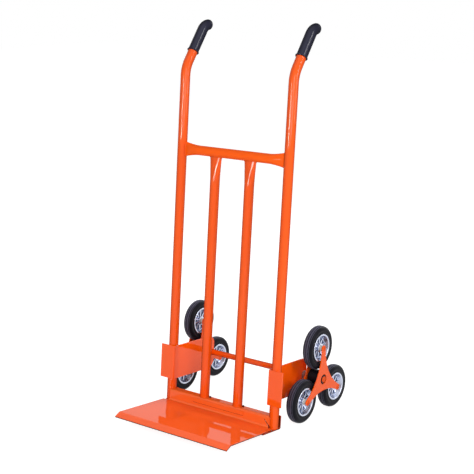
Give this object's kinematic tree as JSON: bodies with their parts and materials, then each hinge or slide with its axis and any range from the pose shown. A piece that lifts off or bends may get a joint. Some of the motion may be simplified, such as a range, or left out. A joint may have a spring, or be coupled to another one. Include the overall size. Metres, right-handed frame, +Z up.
{
  "type": "stair-climbing hand truck",
  "caption": "Steel-tube hand truck with a bent toe plate, swept-back handles with black grips and star-shaped wheel clusters that turn to climb stairs.",
  "frame": {"origin": "on the floor, below the middle of the bounding box", "axes": "+X to the right seen from the front and along the axle, +Y to the back (the wheels' side), +Z up; the truck stands on its heels and on the lower wheels of each cluster"},
  "size_m": [0.5562, 0.637, 1.2862],
  "materials": {
    "orange_powder_coat": "glossy powder coat",
    "grip_rubber": "satin",
    "tyre_rubber": "matt",
    "bright_alloy": "bright",
    "black_plastic": "matt",
    "nylon": "satin",
    "plated_steel": "zinc plated",
    "spring_steel": "dark oiled"
  },
  "bodies": {
    "frame": {"toe_plate": "orange_powder_coat", "upper_crossbar": "orange_powder_coat", "main_axle": "orange_powder_coat", "axle_spacers": "plated_steel", "axle_washers": "black_plastic", "axle_circlips": "spring_steel", "left_side_tube": "orange_powder_coat", "left_inner_bar": "orange_powder_coat", "left_heel_strap": "orange_powder_coat", "left_axle_bracket": "orange_powder_coat", "left_grip": "grip_rubber", "right_side_tube": "orange_powder_coat", "right_inner_bar": "orange_powder_coat", "right_heel_strap": "orange_powder_coat", "right_axle_bracket": "orange_powder_coat", "right_grip": "grip_rubber"},
    "left_cluster": {"left_inner_star": "orange_powder_coat", "left_outer_star": "orange_powder_coat", "left_cluster_hub": "black_plastic", "left_wheel_pins": "orange_powder_coat"},
    "left_top_wheel": {"left_top_tyre": "tyre_rubber", "left_top_rim": "bright_alloy", "left_top_bush": "nylon"},
    "left_front_wheel": {"left_front_tyre": "tyre_rubber", "left_front_rim": "bright_alloy", "left_front_bush": "nylon"},
    "left_rear_wheel": {"left_rear_tyre": "tyre_rubber", "left_rear_rim": "bright_alloy", "left_rear_bush": "nylon"},
    "right_cluster": {"right_inner_star": "orange_powder_coat", "right_outer_star": "orange_powder_coat", "right_cluster_hub": "black_plastic", "right_wheel_pins": "orange_powder_coat"},
    "right_top_wheel": {"right_top_tyre": "tyre_rubber", "right_top_rim": "bright_alloy", "right_top_bush": "nylon"},
    "right_front_wheel": {"right_front_tyre": "tyre_rubber", "right_front_rim": "bright_alloy", "right_front_bush": "nylon"},
    "right_rear_wheel": {"right_rear_tyre": "tyre_rubber", "right_rear_rim": "bright_alloy", "right_rear_bush": "nylon"}
  },
  "joints": [
    {"name": "left_cluster_turn", "type": "hinge", "parent": "frame", "child": "left_cluster", "pos_m": [0, 0.15331, 0.126], "axis": [1, 0, 0], "continuous": true},
    {"name": "left_top_wheel_spin", "type": "hinge", "parent": "left_cluster", "child": "left_top_wheel", "pos_m": [0, 0.15331, 0.233], "axis": [1, 0, 0], "continuous": true},
    {"name": "left_front_wheel_spin", "type": "hinge", "parent": "left_cluster", "child": "left_front_wheel", "pos_m": [0, 0.06065, 0.0725], "axis": [1, 0, 0], "continuous": true},
    {"name": "left_rear_wheel_spin", "type": "hinge", "parent": "left_cluster", "child": "left_rear_wheel", "pos_m": [0, 0.24598, 0.0725], "axis": [1, 0, 0], "continuous": true},
    {"name": "right_cluster_turn", "type": "hinge", "parent": "frame", "child": "right_cluster", "pos_m": [0, 0.15331, 0.126], "axis": [1, 0, 0], "continuous": true},
    {"name": "right_top_wheel_spin", "type": "hinge", "parent": "right_cluster", "child": "right_top_wheel", "pos_m": [0, 0.15331, 0.233], "axis": [1, 0, 0], "continuous": true},
    {"name": "right_front_wheel_spin", "type": "hinge", "parent": "right_cluster", "child": "right_front_wheel", "pos_m": [0, 0.06065, 0.0725], "axis": [1, 0, 0], "continuous": true},
    {"name": "right_rear_wheel_spin", "type": "hinge", "parent": "right_cluster", "child": "right_rear_wheel", "pos_m": [0, 0.24598, 0.0725], "axis": [1, 0, 0], "continuous": true}
  ]
}
